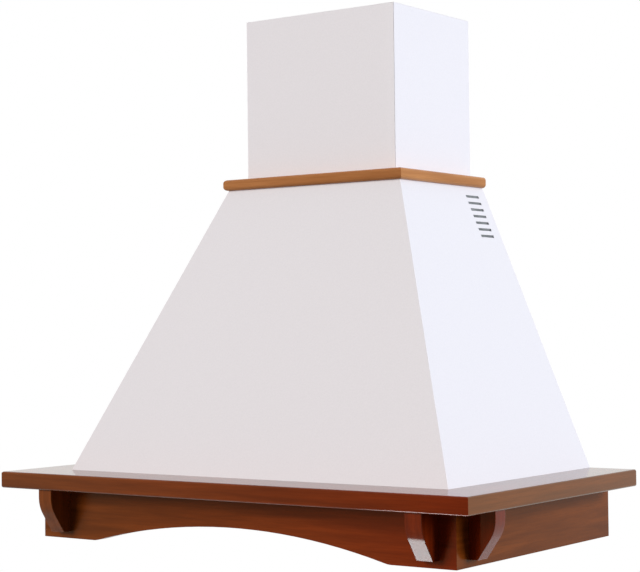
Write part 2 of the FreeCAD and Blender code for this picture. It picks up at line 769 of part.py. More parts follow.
def filters():
    right = {"filter_frame": filter_frame(), "filter_mesh": filter_mesh(), "filter_latch": filter_latch()}
    pieces = {}
    for name, shape in right.items():
        pieces[name + "_left"] = mirrored(shape)
        pieces[name + "_right"] = shape
    return pieces


def lamps():
    centre = lamp_centre()
    lens_bottom = centre - Z * LENS_THICKNESS
    bezel_bottom = centre - Z * BEZEL_HEIGHT
    bezel = rod(BEZEL_RADIUS, bezel_bottom, centre)
    bezel = bezel.cut(rod(LAMP_RADIUS - LENS_SEAT, bezel_bottom - Z * CUT_OVERRUN, centre + Z * CUT_OVERRUN))
    bezel = bezel.cut(rod(LAMP_RADIUS, lens_bottom, centre + Z * CUT_OVERRUN))
    lens = rod(LAMP_RADIUS - CLEARANCE, lens_bottom, centre)
    ceiling = centre + Z * (LAMP_HEIGHT - LAMP_WALL)
    seat = centre + Z * TRAY_SHEET
    holder = rod(LAMP_RADIUS, centre, centre + Z * LAMP_HEIGHT)
    holder = holder.fuse(rod(LAMP_RADIUS + LAMP_RIM, seat, seat + Z * LAMP_WALL))
    holder = holder.cut(rod(LAMP_RADIUS - LAMP_WALL, centre - Z * CUT_OVERRUN, ceiling))
    bulb = rod(BULB_RADIUS, ceiling, ceiling - Z * BULB_LENGTH)
    right = {"lamp_bezel": bezel, "lamp_lens": lens, "lamp_holder": holder, "lamp_bulb": bulb}
    pieces = {}
    for name, shape in right.items():
        pieces[name + "_left"] = mirrored(shape)
        pieces[name + "_right"] = shape
    return pieces


# Controls
def button_spot(index):
    return index * BUTTON_PITCH - button_row_half


def button_block(x, length, width, grow, z_span):
    """Box on a button's axis, grown all round in plan."""
    return block(around(x, length / 2 + grow), around(front_strip_y, width / 2 + grow), z_span)


def button(x):
    """Cap through the fascia, a rim that keeps it in, and a stem into the switch."""
    cap = button_block(x, BUTTON_LENGTH, BUTTON_WIDTH, 0, (fascia_bottom - BUTTON_STAND, button_rim_top))
    rim = button_block(x, BUTTON_LENGTH, BUTTON_WIDTH, BUTTON_RIM, (button_rim_bottom, button_rim_top))
    stem = button_block(x, STEM_LENGTH, STEM_WIDTH, 0, (button_rim_top, button_rim_top + STEM_HEIGHT))
    return cap.fuse([rim, stem]).removeSplitter()


def controls():
    mouth_top = button_rim_top + BUTTON_TRAVEL + CLEARANCE
    guide_top = button_rim_top + STEM_HEIGHT + BUTTON_TRAVEL + CLEARANCE
    fascia_x = around(0, cutout_half_length + FASCIA_MARGIN)
    fascia_y = around(front_strip_y, cutout_half_width + FASCIA_MARGIN)
    fascia = block(fascia_x, fascia_y, (fascia_bottom, tray_bottom))
    switch_x = around(0, cutout_half_length + SWITCH_WALL)
    switch_y = around(front_strip_y, cutout_half_width + SWITCH_WALL)
    switch = block(switch_x, switch_y, (tray_top, guide_top + SWITCH_WALL))
    z_window = (fascia_bottom - CUT_OVERRUN, tray_bottom + CUT_OVERRUN)
    pieces = {}
    for index, name in enumerate(BUTTON_NAMES):
        x = button_spot(index)
        fascia = fascia.cut(button_block(x, BUTTON_LENGTH, BUTTON_WIDTH, CLEARANCE, z_window))
        mouth_grow = BUTTON_RIM + CLEARANCE
        mouth = button_block(x, BUTTON_LENGTH, BUTTON_WIDTH, mouth_grow, (tray_bottom, mouth_top))
        guide = button_block(x, STEM_LENGTH, STEM_WIDTH, CLEARANCE, (tray_bottom, guide_top))
        switch = switch.cut([mouth, guide])
        pieces["button_" + name] = button(x)
    pieces["control_fascia"] = fascia
    pieces["switch_box"] = switch
    return pieces


# Blower
def scroll_outline(x, inset, top):
    """Face across the scroll: three arcs that widen by a step, a tongue and an upright throat."""
    radii = [scroll_radius + turn * SCROLL_STEP - inset for turn in range(3)]
    near_y, far_y = around(axis_y, SCROLL_STEP / 2)
    near_z, far_z = around(axis_z, SCROLL_STEP / 2)
    centres = [V(x, near_y, near_z), V(x, far_y, near_z), V(x, far_y, far_z)]

    def on_arc(turn, degrees):
        angle = math.radians(degrees)
        return centres[turn] + V(0, math.cos(angle), math.sin(angle)) * radii[turn]

    tongue = V(x, near_y + SCROLL_TONGUE + inset, near_z + radii[0])
    rear = on_arc(2, 0)
    edges = [
        Part.Arc(on_arc(0, 90), on_arc(0, 135), on_arc(0, 180)).toShape(),
        Part.Arc(on_arc(1, 180), on_arc(1, 225), on_arc(1, 270)).toShape(),
        Part.Arc(on_arc(2, 270), on_arc(2, 315), rear).toShape(),
        Part.makeLine(rear, V(x, rear.y, top)),
        Part.makeLine(V(x, rear.y, top), V(x, tongue.y, top)),
        Part.makeLine(V(x, tongue.y, top), tongue),
        Part.makeLine(tongue, on_arc(0, 90)),
    ]
    return Part.Face(Part.Wire(edges))


def scroll_half():
    """Right half of the scroll: a side plate with its inlet, half of the wrapper, and the throat's flange."""
    shell = scroll_outline(0, 0, deck_bottom).extrude(V(SCROLL_HALF_WIDTH, 0, 0))
    flange_x = (0, SCROLL_HALF_WIDTH + SCROLL_FLANGE)
    flange_y = around(spigot_y, throat_half_depth + SCROLL_FLANGE)
    shell = shell.fuse(block(flange_x, flange_y, (deck_bottom - SCROLL_SHEET, deck_bottom)))
    hollow = scroll_outline(0, SCROLL_SHEET, deck_bottom + CUT_OVERRUN)
    inlet = rod(inlet_radius, V(0, axis_y, axis_z), V(SCROLL_HALF_WIDTH + CUT_OVERRUN, axis_y, axis_z))
    shell = shell.cut([hollow.extrude(V(SCROLL_HALF_WIDTH - SCROLL_SHEET, 0, 0)), inlet])
    return shell.cut(screw_holes(deck_screw_seats(), -Z)).removeSplitter()


def on_axis(x):
    return V(x, axis_y, axis_z)


def turned(shape, degrees):
    """Copy turned about the fan's axis."""
    copy = shape.copy()
    copy.rotate(on_axis(0), V(1, 0, 0), degrees)
    return copy


def tube_on_axis(outer, inner, x_span):
    """Ring about the fan's axis."""
    ring = rod(outer, on_axis(x_span[0]), on_axis(x_span[1]))
    return ring.cut(rod(inner, on_axis(x_span[0] - CUT_OVERRUN), on_axis(x_span[1] + CUT_OVERRUN)))


def impeller():
    """Drum fan: a middle disc on a hub, a ring of leaning blades and two end rings."""
    bore = SHAFT_RADIUS + RUNNING_FIT
    body = tube_on_axis(impeller_radius, bore, around(0, IMPELLER_DISC / 2))
    body = body.fuse(tube_on_axis(HUB_RADIUS, bore, around(0, HUB_HALF_LENGTH)))
    ring_in = IMPELLER_HALF_LENGTH - IMPELLER_RING
    pieces = [tube_on_axis(impeller_radius, impeller_eye_radius, (ring_in, IMPELLER_HALF_LENGTH))]
    pieces.append(tube_on_axis(impeller_radius, impeller_eye_radius, (-IMPELLER_HALF_LENGTH, -ring_in)))
    middle = (impeller_radius + impeller_eye_radius) / 2
    half_chord = BLADE_CHORD / 2
    y_span = around(axis_y, BLADE_THICKNESS / 2)
    z_span = around(axis_z + middle, half_chord)
    blade = block(around(0, IMPELLER_HALF_LENGTH), y_span, z_span)
    blade.rotate(V(0, axis_y, axis_z + middle), V(1, 0, 0), BLADE_LEAN_DEGREES)
    for index in range(BLADE_COUNT):
        pieces.append(turned(blade, index * 360 / BLADE_COUNT))
    return body.fuse(pieces).removeSplitter()


def motor():
    can = rod(MOTOR_RADIUS, on_axis(motor_start), on_axis(motor_end))
    can = can.fuse(rod(MOTOR_BOSS_RADIUS, on_axis(motor_start - MOTOR_BOSS_LENGTH), on_axis(motor_start)))
    shaft_end = SHAFT_LENGTH - HUB_HALF_LENGTH + CLEARANCE
    return can.cut(rod(SHAFT_RADIUS + RUNNING_FIT, on_axis(0), on_axis(shaft_end)))


def motor_bracket():
    """Three arms across the motor's end, with feet on rubber grommets."""
    foot_start = SCROLL_HALF_WIDTH + GROMMET_THICKNESS
    arm_end = motor_end + ARM_THICKNESS
    reach = grommet_circle_radius + ARM_FOOT_LENGTH / 2
    y_span = around(axis_y, ARM_WIDTH / 2)
    arm = block((motor_end, arm_end), y_span, (axis_z, axis_z + reach))
    foot_z = around(axis_z + grommet_circle_radius, ARM_FOOT_LENGTH / 2)
    arm = arm.fuse(block((foot_start, arm_end), y_span, foot_z))
    arms = [turned(arm, index * 360 / ARM_COUNT) for index in range(ARM_COUNT)]
    return arms[0].fuse(arms[1:]).removeSplitter()


def motor_grommets():
    start = on_axis(SCROLL_HALF_WIDTH) + Z * grommet_circle_radius
    grommet = rod(GROMMET_RADIUS, start, start + V(GROMMET_THICKNESS, 0, 0))
    return Part.makeCompound([turned(grommet, index * 360 / ARM_COUNT) for index in range(ARM_COUNT)])


def blower():
    right = scroll_half()
    return {
        "scroll_left": mirrored(right),
        "scroll_right": right,
        "impeller": impeller(),
        "motor_shaft": rod(SHAFT_RADIUS, on_axis(-HUB_HALF_LENGTH), on_axis(SHAFT_LENGTH - HUB_HALF_LENGTH)),
        "motor": motor(),
        "motor_bracket": motor_bracket(),
        "motor_grommets": motor_grommets(),
    }


# Duct spigot and flaps
def flap_pivot(sign, radius):
    """Pivot of a flap across the spigot; sign is -1 for the front flap and 1 for the rear."""
    half = math.sqrt(SPIGOT_RADIUS ** 2 - (FLAP_PIVOT_OFFSET + radius) ** 2) - CLEARANCE
    y = spigot_y + sign * FLAP_PIVOT_OFFSET
    return rod(radius, V(-half, y, flap_z), V(half, y, flap_z))


def spigot():
    """Round spigot on a flange plate, with pivot holes and a stop ledge under each flap."""
    centre = V(0, spigot_y, deck_top)
    flange_x = around(0, SCROLL_HALF_WIDTH + SCROLL_FLANGE)
    flange_y = around(spigot_y, throat_half_depth + SCROLL_FLANGE)
    bore = rod(spigot_bore, centre - Z * CUT_OVERRUN, centre + Z * (SPIGOT_HEIGHT + CUT_OVERRUN))
    ring = block(flange_x, flange_y, (deck_top, deck_top + SPIGOT_FLANGE))
    ring = ring.cut([bore] + screw_holes(deck_screw_seats(), -Z))
    body = rod(SPIGOT_RADIUS, centre + Z * SPIGOT_FLANGE, centre + Z * SPIGOT_HEIGHT).cut(bore)
    ledge_top = V(0, spigot_y, flap_z - FLAP_THICKNESS / 2 - CLEARANCE)
    ledge_bottom = ledge_top - Z * STOP_LEDGE
    ledge = rod(spigot_bore, ledge_bottom, ledge_top)
    ledge_bore = rod(spigot_bore - STOP_LEDGE, ledge_bottom - Z * CUT_OVERRUN, ledge_top + Z * CUT_OVERRUN)
    ledge = ledge.cut(ledge_bore)
    z_gap = (ledge_bottom.z - CUT_OVERRUN, ledge_top.z + CUT_OVERRUN)
    ledge = ledge.cut(block(around(0, SPIGOT_RADIUS), around(spigot_y, STOP_GAP), z_gap))
    body = body.fuse(ledge)
    for sign in (-1, 1):
        y = spigot_y + sign * FLAP_PIVOT_OFFSET
        hole = rod(FLAP_PIVOT_RADIUS + RUNNING_FIT, V(-SPIGOT_RADIUS, y, flap_z), V(SPIGOT_RADIUS, y, flap_z))
        body = body.cut(hole)
    return Part.makeCompound([ring, body.removeSplitter()])


def flap(sign):
    """Half-round draught flap on its pivot."""
    z_span = around(flap_z, FLAP_THICKNESS / 2)
    centre = V(0, spigot_y, z_span[0])
    plate = rod(spigot_bore - FLAP_RIM_GAP, centre, centre + Z * FLAP_THICKNESS)
    kept = sorted((spigot_y + sign * FLAP_EDGE_OFFSET, spigot_y + sign * SPIGOT_RADIUS))
    plate = plate.common(block(around(0, SPIGOT_RADIUS), kept, z_span))
    return plate.fuse(flap_pivot(sign, FLAP_PIVOT_RADIUS)).removeSplitter()


# Electrical pieces
def junction_pieces():
    """Terminal box on the back panel, its cover and the terminal block inside."""
    far = canopy_half(-JUNCTION_DROP) - side_inset - JUNCTION_SIDE_GAP
    x_span = (far - JUNCTION_WIDTH, far)
    z_span = (-JUNCTION_DROP - JUNCTION_HEIGHT, -JUNCTION_DROP)
    back = -CANOPY_SHEET
    front = back - JUNCTION_DEPTH
    inner_x = (x_span[0] + JUNCTION_WALL, x_span[1] - JUNCTION_WALL)
    inner_z = (z_span[0] + JUNCTION_WALL, z_span[1] - JUNCTION_WALL)
    box = block(x_span, (front, back), z_span)
    box = box.cut(block(inner_x, (front - CUT_OVERRUN, back - JUNCTION_WALL), inner_z))
    cover = block(x_span, (front - JUNCTION_WALL, front), z_span)
    middle_x = sum(x_span) / 2
    middle_z = sum(z_span) / 2
    terminal_y = (back - JUNCTION_WALL - TERMINAL_DEPTH, back - JUNCTION_WALL)
    terminal_z = around(middle_z, TERMINAL_HEIGHT / 2)
    terminal = block(around(middle_x, TERMINAL_WIDTH / 2), terminal_y, terminal_z)
    return {"junction_box": box, "junction_cover": cover, "terminal_block": terminal}


def capacitor():
    outer = canopy_half(-CAPACITOR_DROP) - side_inset - CAPACITOR_SIDE_GAP
    foot = V(CAPACITOR_RADIUS - outer, -CANOPY_SHEET, -CAPACITOR_DROP)
    return rod(CAPACITOR_RADIUS, foot, foot - V(0, CAPACITOR_LENGTH, 0))


def cable_gland():
    """Gland through the deck, beside the duct."""
    seat = gland_place()
    nut_top = seat + Z * GLAND_NUT_HEIGHT
    tip = nut_top + Z * GLAND_REACH
    tail = seat - Z * (DECK_SHEET + GLAND_NUT_HEIGHT)
    body = rod(GLAND_NUT_RADIUS, seat, nut_top).fuse(rod(GLAND_RADIUS, tail, tip))
    return body.cut(rod(GLAND_BORE_RADIUS, tail - Z * CUT_OVERRUN, tip + Z * CUT_OVERRUN)).removeSplitter()


def screws():
    return {
        "tray_screws": Part.makeCompound([screw(seat, Z) for seat in tray_screw_seats()]),
        "canopy_screws": Part.makeCompound([screw(seat, -Z) for seat in canopy_screw_seats()]),
        "deck_screws": Part.makeCompound([screw(seat, -Z) for seat in deck_screw_seats()]),
    }


# The whole hood
def hood():
    nodes = {}
    for group in (shelf_boards, apron_boards, corbels, collar_strips, canopy):
        nodes.update(group())
    nodes["back_panel"] = back_panel()
    nodes["top_deck"] = top_deck()
    nodes["base_tray"] = base_tray()
    nodes["chimney_cover"] = chimney_cover()
    nodes["chimney_bracket"] = chimney_bracket()
    for group in (filters, lamps, controls, blower, junction_pieces, screws):
        nodes.update(group())
    nodes["outlet_spigot"] = spigot()
    nodes["flap_front"] = flap(-1)
    nodes["flap_rear"] = flap(1)
    nodes["motor_capacitor"] = capacitor()
    nodes["cable_gland"] = cable_gland()
    return nodes


os.makedirs("parts", exist_ok=True)
for node, shape in hood().items():
    shape.exportStep("parts/" + node + ".step")
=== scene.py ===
import math

import bmesh
import bpy
from bpy.props import FloatProperty, FloatVectorProperty, IntProperty, PointerProperty
from bpy.types import Operator, Panel, PropertyGroup
from mathutils import Matrix, Vector


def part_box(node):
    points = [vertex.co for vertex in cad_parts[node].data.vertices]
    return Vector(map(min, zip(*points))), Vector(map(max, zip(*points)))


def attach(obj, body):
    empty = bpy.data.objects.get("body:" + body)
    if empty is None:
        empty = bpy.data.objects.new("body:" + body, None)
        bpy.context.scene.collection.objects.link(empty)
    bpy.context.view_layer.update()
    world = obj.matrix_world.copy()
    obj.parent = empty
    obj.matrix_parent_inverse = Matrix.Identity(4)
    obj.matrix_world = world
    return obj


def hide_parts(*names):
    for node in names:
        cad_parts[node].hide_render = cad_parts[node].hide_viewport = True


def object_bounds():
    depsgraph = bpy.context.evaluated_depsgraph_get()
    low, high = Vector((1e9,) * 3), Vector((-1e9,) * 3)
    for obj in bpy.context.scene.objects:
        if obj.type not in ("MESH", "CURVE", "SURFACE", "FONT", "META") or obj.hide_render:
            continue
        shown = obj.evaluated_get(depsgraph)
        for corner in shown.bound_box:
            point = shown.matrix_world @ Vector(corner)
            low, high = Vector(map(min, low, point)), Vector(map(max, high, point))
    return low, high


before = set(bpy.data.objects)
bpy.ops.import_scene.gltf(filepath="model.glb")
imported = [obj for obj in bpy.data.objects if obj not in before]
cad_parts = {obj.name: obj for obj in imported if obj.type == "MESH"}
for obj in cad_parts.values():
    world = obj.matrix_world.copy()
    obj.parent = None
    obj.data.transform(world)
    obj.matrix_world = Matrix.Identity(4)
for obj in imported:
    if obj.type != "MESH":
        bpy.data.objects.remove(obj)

bl_info = {
    "name": "Range hood looks",
    "version": (1, 0, 0),
    "blender": (4, 5, 0),
    "location": "3D View > Sidebar > Range hood",
    "description": "Finishes, fine pieces and a studio for a range hood in a wooden shelf",
    "category": "Object",
}

CAD_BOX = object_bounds()
MM = 0.001
SIDES = ("left", "right")
X_AXIS, Y_AXIS, Z_AXIS = range(3)
BUTTONS = ("off", "low", "medium", "high", "light")

# Varnishes: level of the reflection, and roughness between the pores and in them
POLISHED = (0.5, 0.05, 0.15)
LACQUERED = (0.42, 0.05, 0.15)
SATIN = (0.12, 0.16, 0.3)
WAXED = (0.11, 0.08, 0.2)

# Parts of a noise's range over which a pattern changes from its first tone to its second
MOTTLE_RANGE = {"From Min": 0.3, "From Max": 0.7}
GRAIN_RANGE = {"From Min": 0.32, "From Max": 0.68}
PORE_RANGE = {"From Min": 0.5, "From Max": 0.75}
PORE_STAIN = 0.55
PORE_RELIEF = 0.01 * MM

WELD_REACH = 0.01 * MM
BEVEL_STEPS = 3
SHARP_ANGLE = math.radians(40)
SCREW_REACH = 10 * MM
FONT_TO_DIGIT = 1.4
GLASS_SECTORS = 64
DOT_SECTORS = 24


def linear(code):
    """Linear colour with full alpha from an sRGB hex code."""
    values = []
    for start in (1, 3, 5):
        share = int(code[start:start + 2], 16) / 255
        values.append(share / 12.92 if share <= 0.04045 else ((share + 0.055) / 1.055) ** 2.4)
    return (*values, 1.0)


def colour_setting(name, description, code):
    """Property for a colour, given as an sRGB hex code."""
    return FloatVectorProperty(name=name, description=description, subtype="COLOR", size=4, min=0, max=1,
                               default=linear(code))


def length_setting(name, description, millimetres):
    """Property for a length, given in millimetres."""
    return FloatProperty(name=name, description=description, subtype="DISTANCE", unit="LENGTH", min=0,
                         default=millimetres * MM)


def angle_setting(name, description, degrees):
    """Property for an angle, given in degrees."""
    return FloatProperty(name=name, description=description, subtype="ANGLE", unit="ROTATION",
                         default=math.radians(degrees))


def place_setting(name, description, millimetres):
    """Property for a point, given in millimetres."""
    return FloatVectorProperty(name=name, description=description, subtype="TRANSLATION", unit="LENGTH",
                               size=3, default=tuple(part * MM for part in millimetres))


def level_setting(name, description, share):
    """Property for a share of full white."""
    return FloatProperty(name=name, description=description, subtype="FACTOR", min=0, max=1, default=share)


# Settings
class HoodWood(PropertyGroup):
    brown_dark: colour_setting("Brown dark", "Late wood at the left of the boards and corbels", "#653312")
    brown_light: colour_setting("Brown light", "Early wood at the left of the boards and corbels", "#84451A")
    red_dark: colour_setting("Red dark", "Late wood at the right of front boards and corbels", "#5B1703")
    red_light: colour_setting("Red light", "Early wood at the right of front boards and corbels", "#782406")
    # Painted light: the right side boards' pair below is a browner copy of the front's red, and it stands in
    # for part of the pale sheen on that lit side
    russet_dark: colour_setting("Russet dark", "Late wood of the right side boards", "#5B2808")
    russet_light: colour_setting("Russet light", "Early wood of the right side boards", "#783A0F")
    collar_dark: colour_setting("Collar dark", "Late wood of the collar's front", "#9A6034")
    collar_light: colour_setting("Collar light", "Early wood of the collar's front", "#B87B49")
    # Painted light: the collar's side strips are a lighter copy of its front tone, and they stand in for the
    # lamp light on the right side
    return_dark: colour_setting("Return dark", "Late wood of the collar's sides", "#AC7140")
    return_light: colour_setting("Return light", "Early wood of the collar's sides", "#CB8C54")
    amber: colour_setting("Amber varnish", "Gloss tint of the shelf's front and side corbels", "#A06C3F")
    honey: colour_setting("Honey varnish", "Gloss tint of the apron's front and the collar", "#FFEFB8")
    straw: colour_setting("Straw varnish", "Gloss tint of the side boards", "#FFEA90")
    clear: colour_setting("Clear varnish", "Gloss tint of the front corbels", "#F8FAD8")
    grain_width: length_setting("Grain width", "Usual width of a grain figure", 14)
    grain_length: length_setting("Grain length", "Usual length of a grain figure", 240)
    pore_width: length_setting("Pore width", "Width of a pore streak, drawn wide enough to show", 1.4)
    pore_length: length_setting("Pore length", "Length of a pore streak", 45)
    corbel_ease: length_setting("Corbel ease", "Eased edges of the corbels", 0.8)
    mitre_ease: length_setting("Mitre ease", "Eased edges of boards and strips, which show the mitres", 0.35)


class HoodSheet(PropertyGroup):
    enamel: colour_setting("Powder coat", "White of the canopy and tray", "#EAE8EA")
    enamel_shade: colour_setting("Powder coat shade", "Faintly darker patches of that coat", "#E6E4E6")
    # Painted light: the chimney's coat is painted lighter than the canopy's, which makes up for the far lamps
    # lighting the upright chimney less than the sloped canopy
    chimney: colour_setting("Chimney coat", "White of the chimney cover, a touch lighter", "#F1EFF1")
    chimney_shade: colour_setting("Chimney coat shade", "Faintly darker patches of its coat", "#EDEBED")
    zinc_dark: colour_setting("Zinc dark", "Dark spangles of the galvanised sheet", "#A6ABAF")
    zinc_light: colour_setting("Zinc light", "Light spangles of the galvanised sheet", "#C0C5C8")
    peel: length_setting("Orange peel", "Width of a ripple in the powder coat", 2.6)
    spangle: length_setting("Spangle", "Width of a zinc crystal", 11)
    fold: length_setting("Fold", "Outside radius of the folded chimney sheet", 1.2)
    cheek_top: length_setting("Cheek top", "Half the canopy's width at its top", 173)
    vent_middle: length_setting("Vent middle", "Height of the middle vent slot", 164.9)
    vent_setback: length_setting("Vent setback", "From the wall to the middle of a vent slot", 45.2)
    vent_width: length_setting("Vent width", "Width of the screen behind the vent slots", 52)
    vent_height: length_setting("Vent height", "Height of the screen behind the vent slots", 84)
    vent_depth: length_setting("Vent depth", "From the cheek's face to the screen behind it", 2)
    vent_cell: length_setting("Vent cell", "Length of a diamond in that screen", 3.2)
    vent_strand: length_setting("Vent strand", "Width of a strand of that screen", 1.2)


class HoodFine(PropertyGroup):
    screen_cell: length_setting("Screen cell", "Length of a diamond in the filters' expanded foil", 13)
    screen_strand: length_setting("Screen strand", "Width of a foil strand", 1.1)
    screen_layers: IntProperty(name="Screen layers", description="Foil layers in a filter", default=3, min=1)
    lens_ring: length_setting("Lens ring", "Pitch of the rings pressed in a lamp glass", 3)
    lens_relief: length_setting("Lens relief", "Height of the rings pressed in a lamp glass", 0.5)
    mark_height: length_setting("Mark height", "Height of a printed number on a button", 6)
    mark_ink: length_setting("Mark ink", "Thickness of the printed ink", 0.08)
    moulded_ease: length_setting("Moulded ease", "Edge radius of plastic and cast pieces", 0.7)
    screw_recess: length_setting("Screw recess", "Depth of the cross in a screw head", 1.3)


class HoodStudio(PropertyGroup):
    azimuth: angle_setting("Azimuth", "Camera's turn to the right of the front", 35.839)
    elevation: angle_setting("Elevation", "Camera's height above the horizon", -1.395)
    roll: angle_setting("Roll", "Camera's turn about its own axis", -0.663)
    distance: length_setting("Distance", "From the camera to the point it looks at", 2851)
    aim: place_setting("Aim", "Point that the camera looks at", (10.72, -249.28, 50.46))
    lens: FloatProperty(name="Lens", description="Focal length on a 36 mm wide sensor",
                        subtype="DISTANCE_CAMERA", unit="CAMERA", default=98.10)
    key_azimuth: angle_setting("Key azimuth", "Turn of the right lamp from the front", 122)
    key_elevation: angle_setting("Key elevation", "Height of the right lamp above the horizon", 17)
    key_strength: FloatProperty(name="Key strength", description="Strength of the right lamp", min=0,
                                default=3.5)
    key_colour: colour_setting("Key colour", "Cool light of the right lamp", "#F0F4FF")
    fill_azimuth: angle_setting("Fill azimuth", "Turn of the left lamp from the front", -34)
    fill_elevation: angle_setting("Fill elevation", "Height of the left lamp above the horizon", 21)
    fill_strength: FloatProperty(name="Fill strength", description="Strength of the left lamp", min=0,
                                 default=2.75)
    fill_colour: colour_setting("Fill colour", "Warm light of the left lamp", "#FFFAFA")
    lamp_spread: angle_setting("Lamp spread", "Width of the right and left lamps as the hood sees them", 34)
    low_place: place_setting("Low place", "Middle of the small softbox below the arch", (-100, -645, -1030))
    low_target: place_setting("Low target", "Point near the right corner that it faces", (356, -497, -327))
    low_width: length_setting("Low width", "Width of the softbox", 240)
    low_height: length_setting("Low height", "Height of the softbox", 200)
    low_spread: angle_setting("Low spread", "Cone of the softbox's light", 60)
    low_power: FloatProperty(name="Low power", description="Power of the softbox", unit="POWER", min=0,
                             default=0.39)
    low_colour: colour_setting("Low colour", "Cool light of the softbox", "#E4EEFF")
    room_level: level_setting("Room level", "Light from the room in front", 0.1)
    cove_level: level_setting("Cove level", "Light from the white cove behind", 0.95)
    floor_drop: length_setting("Floor drop", "From the hood's lowest edge to the floor", 1600)
    floor_half: length_setting("Floor half", "From the floor's middle to its edge", 2500)
    floor: colour_setting("Floor", "Pale studio floor", "#FBFBFA")
    floor_shade: colour_setting("Floor shade", "Floor as the hood's underside sees it", "#7C7A79")


# Materials
def wire(tree, node, inputs):
    """Sets a node's inputs to values, or links them to other nodes' outputs."""
    for name, value in inputs.items():
        if isinstance(value, bpy.types.NodeSocket):
            tree.links.new(value, node.inputs[name])
        else:
            node.inputs[name].default_value = value


def add(tree, kind, inputs, **settings):
    """Adds a shader node with its settings, values and links."""
    node = tree.nodes.new("ShaderNode" + kind)
    for name, value in settings.items():
        setattr(node, name, value)
    wire(tree, node, inputs)
    return node


def blank(name):
    """New material, with its node tree and its shader."""
    material = bpy.data.materials.new(name)
    material.use_nodes = True
    return material, material.node_tree, material.node_tree.nodes["Principled BSDF"]


def streaks(tree, sizes, detail):
    """Noise whose figures have the given sizes along the three axes."""
    place = add(tree, "TexCoord", {}).outputs["Object"]
    scaled = add(tree, "Mapping", {"Vector": place, "Scale": [1 / size for size in sizes]}).outputs["Vector"]
    noise = add(tree, "TexNoise", {"Vector": scaled, "Scale": 1, "Detail": detail, "Roughness": 0.6})
    return noise.outputs["Fac"]


def mottled(name, dark, light, sizes, roughness, relief, **shader_inputs):
    """Material whose colour, roughness and relief all follow one noise of a real size."""
    material, tree, shader = blank(name)
    patches = streaks(tree, sizes, 3)
    spread = add(tree, "MapRange", {"Value": patches, **MOTTLE_RANGE}).outputs["Result"]
    tint = add(tree, "Mix", {0: spread, 6: dark, 7: light}, data_type="RGBA").outputs[2]
    ends = {"To Min": roughness[0], "To Max": roughness[1]}
    gloss = add(tree, "MapRange", {"Value": spread, **ends}).outputs["Result"]
    bumps = add(tree, "Bump", {"Height": patches, "Strength": 1, "Distance": relief}).outputs["Normal"]
    wire(tree, shader, {"Base Color": tint, "Roughness": gloss, "Normal": bumps})
    wire(tree, shader, {key.replace("_", " ").title(): value for key, value in shader_inputs.items()})
    return material


def along(axis, length, width):
    """Sizes of a figure that is long on one axis."""
    return [length if index == axis else width for index in range(3)]


def stained_wood(name, tones, axis, wood, gloss):
    # Stained and varnished wood: a tone that changes from left to right, long darker figures, fine pores
    # drawn wide enough to show, and a tinted reflection that grows clear at low angles
    material, tree, shader = blank(name)
    level, smooth, rough, tint = gloss
    place = add(tree, "TexCoord", {}).outputs["Object"]
    across = add(tree, "SeparateXYZ", {"Vector": place}).outputs["X"]
    ends = {"From Min": CAD_BOX[0].x, "From Max": CAD_BOX[1].x}
    right = add(tree, "MapRange", {"Value": across, **ends}).outputs["Result"]
    dark, light = (add(tree, "Mix", {0: right, 6: first, 7: last}, data_type="RGBA").outputs[2]
                   for first, last in zip(*tones))
    figure = streaks(tree, along(axis, wood.grain_length, wood.grain_width), 5)
    pores = streaks(tree, along(axis, wood.pore_length, wood.pore_width), 2)
    spread = add(tree, "MapRange", {"Value": figure, **GRAIN_RANGE}).outputs["Result"]
    stain = add(tree, "Mix", {0: spread, 6: dark, 7: light}, data_type="RGBA").outputs[2]
    depth = add(tree, "MapRange", {"Value": pores, **PORE_RANGE, "To Max": PORE_STAIN})
    pored = add(tree, "Mix", {0: depth.outputs["Result"], 6: stain, 7: dark}, data_type="RGBA").outputs[2]
    cloud = add(tree, "MapRange", {"Value": pores, "To Min": smooth, "To Max": rough}).outputs["Result"]
    bumps = add(tree, "Bump", {"Height": pores, "Strength": 1, "Distance": PORE_RELIEF}, invert=True)
    wire(tree, shader, {"Base Color": pored, "Roughness": cloud, "Normal": bumps.outputs["Normal"],
                        "Specular IOR Level": level, "Specular Tint": tint})
    return material


def powder_coat(name, dark, light, sheet):
    # Powder-coated steel: baked paint with a faint orange peel and a soft, wide sheen
    return mottled(name, dark, light, [sheet.peel] * 3, roughness=(0.36, 0.44), relief=0.02 * MM,
                   coat_weight=0.2, coat_roughness=0.25)


def galvanised(sheet):
    # Hot-dip galvanised sheet: flat zinc crystals that each catch the light differently
    material, tree, shader = blank("Galvanised steel")
    place = add(tree, "TexCoord", {}).outputs["Object"]
    crystals = add(tree, "TexVoronoi", {"Vector": place, "Scale": 1 / sheet.spangle, "Randomness": 1})
    shade = add(tree, "SeparateColor", {"Color": crystals.outputs["Color"]}).outputs[0]
    tint = add(tree, "Mix", {0: shade, 6: sheet.zinc_dark, 7: sheet.zinc_light}, data_type="RGBA").outputs[2]
    gloss = add(tree, "MapRange", {"Value": shade, "To Min": 0.3, "To Max": 0.5}).outputs["Result"]
    bumps = add(tree, "Bump", {"Height": shade, "Strength": 0.3, "Distance": 0.03 * MM}).outputs["Normal"]
    wire(tree, shader, {"Base Color": tint, "Metallic": 1, "Roughness": gloss, "Normal": bumps})
    return material


def rolled_aluminium(name, axis):
    # Rolled aluminium: fine lines along the rolling direction, drawn coarser than real so that they show
    return mottled(name, linear("#B4B7BA"), linear("#D2D4D6"), along(axis, 60 * MM, 0.8 * MM),
                   roughness=(0.26, 0.4), relief=0.01 * MM, metallic=1)


def bright_chrome():
    # Chrome plate: a near mirror with faint smudges
    return mottled("Chrome plate", linear("#D9DBDD"), linear("#E6E8EA"), [25 * MM] * 3,
                   roughness=(0.05, 0.12), relief=0.002 * MM, metallic=1)


